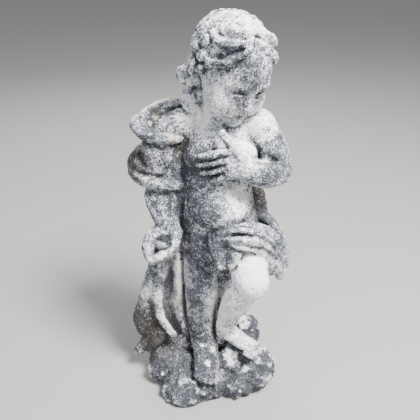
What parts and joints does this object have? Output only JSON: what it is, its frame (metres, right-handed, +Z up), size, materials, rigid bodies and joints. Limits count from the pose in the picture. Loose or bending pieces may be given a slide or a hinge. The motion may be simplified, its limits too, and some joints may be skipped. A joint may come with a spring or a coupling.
{
  "type": "garden statue of a cherub",
  "caption": "Weathered cast-stone cherub in a cloak, standing on a rock with a hand on the breast and the other a half-open fist.",
  "frame": {"origin": "on the flat underside of the rock, under the middle of the figure's stance", "axes": "+Z up from the underside to the crown, -Y to the front that the trunk faces, +X to the spectator's right"},
  "size_m": [0.3331, 0.2114, 0.7603],
  "materials": {
    "cast_stone": "Weathered cast stone, matt and pitted, pale grey with dark lichen and soot. Matte plastic stands in for it, because the list has no stone."
  },
  "bodies": {
    "root": {"cherub_statue": "cast_stone"}
  },
  "joints": []
}
